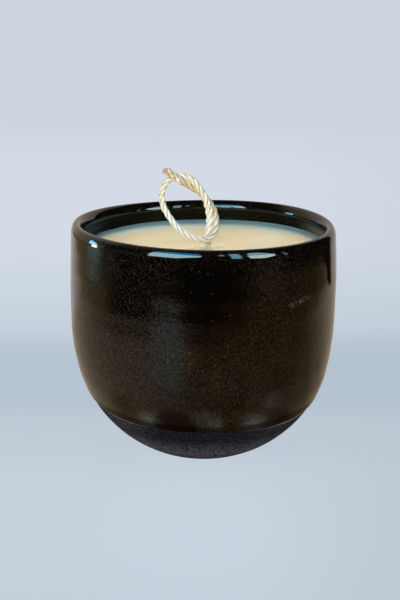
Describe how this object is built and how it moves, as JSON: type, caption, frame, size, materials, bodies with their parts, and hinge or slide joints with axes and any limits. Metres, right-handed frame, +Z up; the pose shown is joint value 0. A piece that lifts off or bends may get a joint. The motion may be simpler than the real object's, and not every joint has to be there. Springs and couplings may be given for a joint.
{
  "type": "container candle",
  "caption": "Round-bottomed stoneware candle jar with a dipped black glaze, filled with cream wax, with a curled twisted wick.",
  "frame": {"origin": "centre of the foot ring, on the surface that the jar stands on", "axes": "+Z up along the axis that the jar was thrown on; +X to the right and +Y away from the side from which the wick's ring shows face on"},
  "size_m": [0.095, 0.095, 0.1025],
  "materials": {
    "bare_clay": "matte",
    "black_glaze": "gloss",
    "wax": "satin",
    "wick_cord": "matte",
    "tab_steel": "satin",
    "sticker_foam": "matte"
  },
  "bodies": {
    "root": {"stoneware_body": "bare_clay", "glaze_coat": "black_glaze", "wax_fill": "wax", "wick_stem": "wick_cord", "wick_loop": "wick_cord", "wick_tab": "tab_steel", "wick_sticker": "sticker_foam"}
  },
  "joints": []
}
